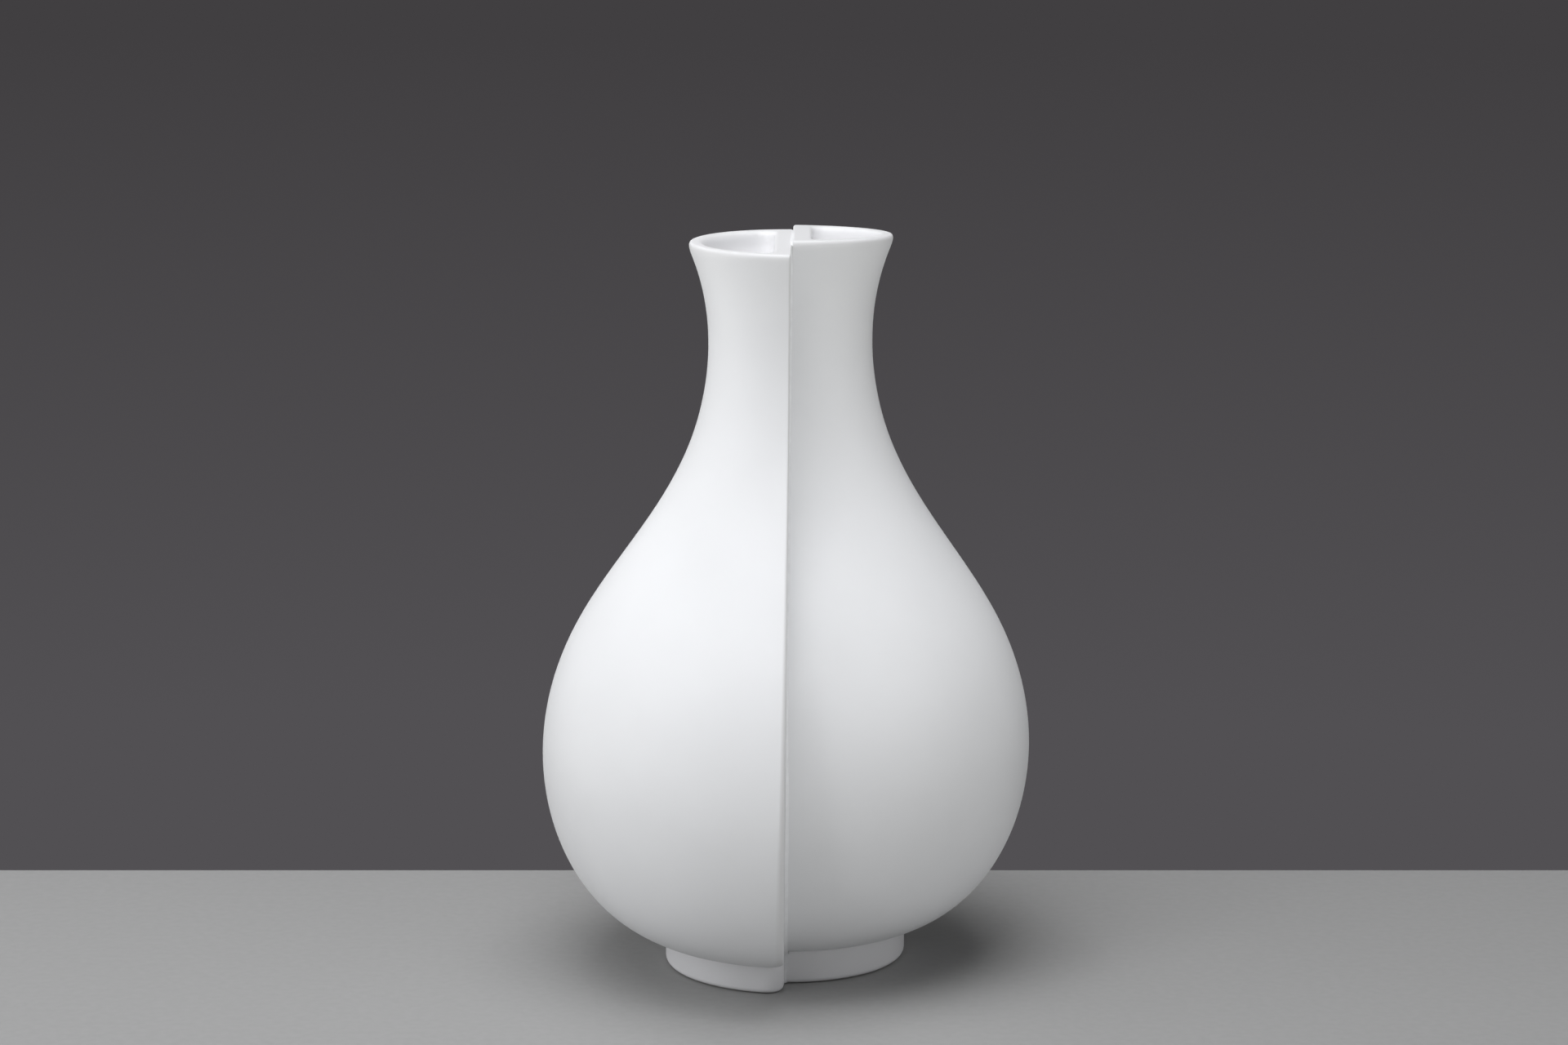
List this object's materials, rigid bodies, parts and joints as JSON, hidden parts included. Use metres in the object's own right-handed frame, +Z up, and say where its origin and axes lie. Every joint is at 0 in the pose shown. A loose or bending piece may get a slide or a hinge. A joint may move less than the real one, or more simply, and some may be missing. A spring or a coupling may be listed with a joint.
{
  "type": "split standing vase",
  "caption": "Pear-shaped white glazed vase of D-section halves luted flat to flat, slid apart along the cut, each with its own mouth, hollow and foot.",
  "frame": {"origin": "centre of the vase's base at table level, on the cut between the halves", "axes": "+Z up; X across the cut, left half at -X; the left half stands towards the front, -Y"},
  "size_m": [0.2008, 0.2194, 0.3014],
  "materials": {
    "body_glaze": "satin white glaze",
    "foot_glaze": "satin white glaze, bare ground base",
    "seam_slip": "smoothed white slip under thin glaze"
  },
  "bodies": {
    "root": {"left_body_shell": "body_glaze", "right_body_shell": "body_glaze", "left_flat_wall": "body_glaze", "right_flat_wall": "body_glaze", "left_foot_ring": "foot_glaze", "right_foot_ring": "foot_glaze", "front_seam_bead": "seam_slip", "rear_seam_bead": "seam_slip", "luting_slip": "seam_slip"}
  },
  "joints": []
}
